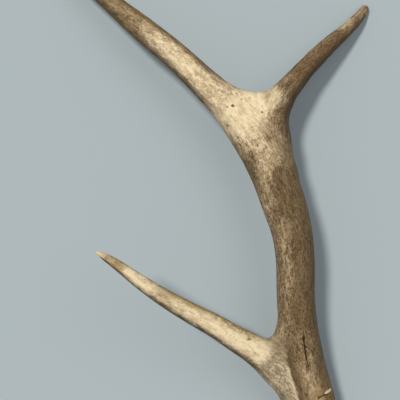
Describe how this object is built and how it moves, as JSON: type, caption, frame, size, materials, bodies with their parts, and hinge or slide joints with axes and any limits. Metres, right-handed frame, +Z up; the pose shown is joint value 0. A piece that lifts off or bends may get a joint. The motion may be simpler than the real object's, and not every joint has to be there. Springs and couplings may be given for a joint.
{
  "type": "deer antler",
  "caption": "Shed deer antler with a brow tine and a forked top, lying on its burr and its upper points.",
  "frame": {"origin": "on the ground, under the middle of the antler's bounding box", "axes": "+Z up, +Y from the burr to the fork, +X on the back tine's side"},
  "size_m": [0.3148, 0.4544, 0.1016],
  "materials": {
    "brown_bone": "satin",
    "ivory_bone": "satin"
  },
  "bodies": {
    "root": {"beam": "brown_bone", "brow_tine": "ivory_bone", "front_tine": "ivory_bone", "back_tine": "brown_bone"}
  },
  "joints": []
}
